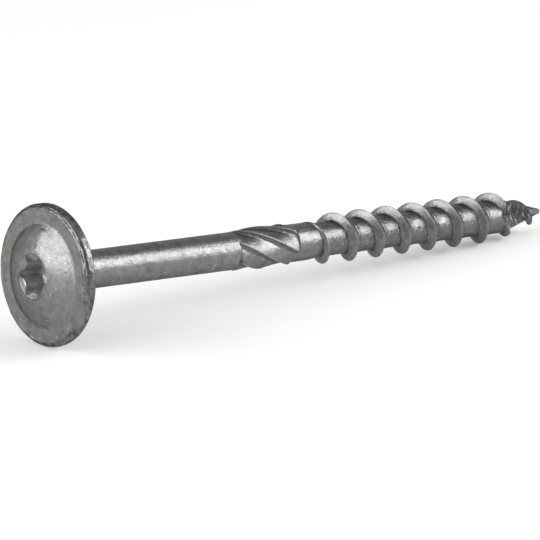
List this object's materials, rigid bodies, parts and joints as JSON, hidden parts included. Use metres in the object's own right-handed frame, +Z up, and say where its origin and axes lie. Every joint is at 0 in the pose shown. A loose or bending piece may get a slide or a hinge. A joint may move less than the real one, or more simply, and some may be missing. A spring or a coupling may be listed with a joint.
{
  "type": "structural screw",
  "caption": "Long structural wood screw with a washer head, six-lobe drive recess, smooth shank, helical shank cutter, coarse thread and notched cutting point.",
  "frame": {"origin": "middle of the bounding box in X and Y, on the surface that the screw lies on", "axes": "+X along the screw from its head to its point, +Z up; the screw lies on the rim of its head and on one crest of its thread, so its axis falls by 4.6 degrees towards the point"},
  "size_m": [0.1038, 0.022, 0.022],
  "materials": {
    "galvanised_steel": "matte grey zinc coating, slightly mottled, with fine pits and scratches"
  },
  "bodies": {
    "root": {"screw": "galvanised_steel"}
  },
  "joints": []
}
